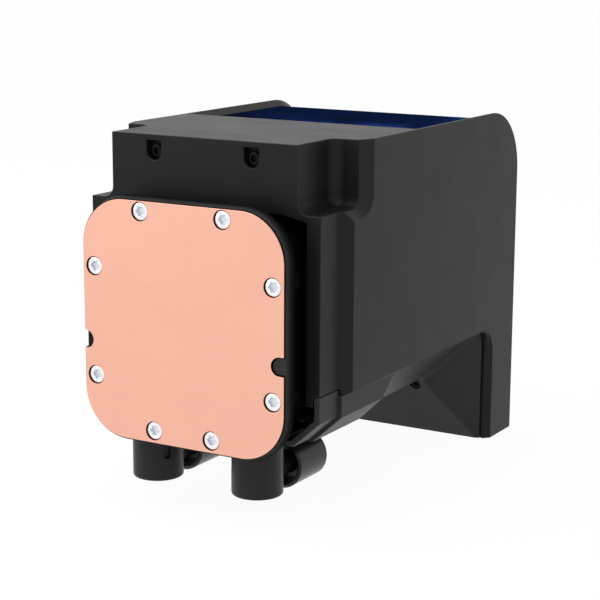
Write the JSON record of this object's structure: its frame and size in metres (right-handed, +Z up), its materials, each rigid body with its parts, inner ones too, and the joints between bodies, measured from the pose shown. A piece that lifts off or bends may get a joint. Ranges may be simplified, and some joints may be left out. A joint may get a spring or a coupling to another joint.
{
  "type": "all-in-one cpu liquid cooler",
  "caption": "Cooler pump head: square copper cold plate with swivel hose elbows under it, and a boxy dark shell behind whose curved display bends from the top down over a rear leg.",
  "frame": {"origin": "middle of the cold plate's contact face", "axes": "+X to the right seen from the cold plate, +Y from the cold plate back through the head, +Z up"},
  "size_m": [0.074, 0.1235, 0.0974],
  "materials": {
    "copper": "fine-ground bare copper",
    "shell_black": "fine matt moulding",
    "under_black": "coarse matt moulding",
    "casing_black": "satin moulding",
    "fitting_black": "satin moulding",
    "collar_black": "satin black",
    "clear_plastic": "natural moulding",
    "screw_steel": "bright zinc",
    "black_screw": "black oxide",
    "spring_steel": "plain",
    "sheet_steel": "black coated sheet",
    "sheet_aluminium": "plain",
    "seal_rubber": "matt",
    "ceramic_white": "ground",
    "magnet_grey": "sintered",
    "lamination": "stacked sheet",
    "winding": "enamelled wire",
    "board": "solder mask",
    "socket_white": "plain moulding",
    "display": "gloss, lit blue",
    "ribbon": "amber film"
  },
  "bodies": {
    "head": {"cold_plate": "copper", "cold_plate_screws": "screw_steel", "cold_plate_seal": "seal_rubber", "pump_casing": "casing_black", "jet_plate": "spring_steel", "pump_shaft": "ceramic_white", "thrust_washers": "ceramic_white", "separation_can": "clear_plastic", "stator_core": "lamination", "stator_coils": "winding", "pump_board": "board", "pump_cap": "casing_black", "pump_cap_screws": "screw_steel", "elbow_clips": "sheet_steel", "main_shell": "shell_black", "shell_screws": "black_screw", "mount_bracket": "sheet_steel", "bracket_screws": "screw_steel", "lower_tray": "under_black", "tray_screws": "black_screw", "under_cover": "under_black", "cover_screws": "black_screw", "display_panel": "display", "display_carrier": "sheet_aluminium", "display_flex": "ribbon", "driver_board": "board", "board_screws": "screw_steel", "board_shield": "spring_steel", "board_socket": "socket_white"},
    "rotor": {"impeller": "clear_plastic", "rotor_magnet": "magnet_grey", "rotor_bush": "magnet_grey"},
    "left_swivel": {"left_elbow": "fitting_black", "left_elbow_seal": "seal_rubber", "left_hose_collar": "collar_black"},
    "right_swivel": {"right_elbow": "fitting_black", "right_elbow_seal": "seal_rubber", "right_hose_collar": "collar_black"}
  },
  "joints": [
    {"name": "impeller_spin", "type": "hinge", "parent": "head", "child": "rotor", "pos_m": [0, 0.0114, 0], "axis": [0, 1, 0], "continuous": true},
    {"name": "left_elbow_turn", "type": "hinge", "parent": "head", "child": "left_swivel", "pos_m": [-0.0154, 0.0114, -0.0392], "axis": [0, 0, 1], "range_deg": [-15, 90]},
    {"name": "right_elbow_turn", "type": "hinge", "parent": "head", "child": "right_swivel", "pos_m": [0.0154, 0.0114, -0.0392], "axis": [0, 0, -1], "range_deg": [-15, 90]}
  ]
}
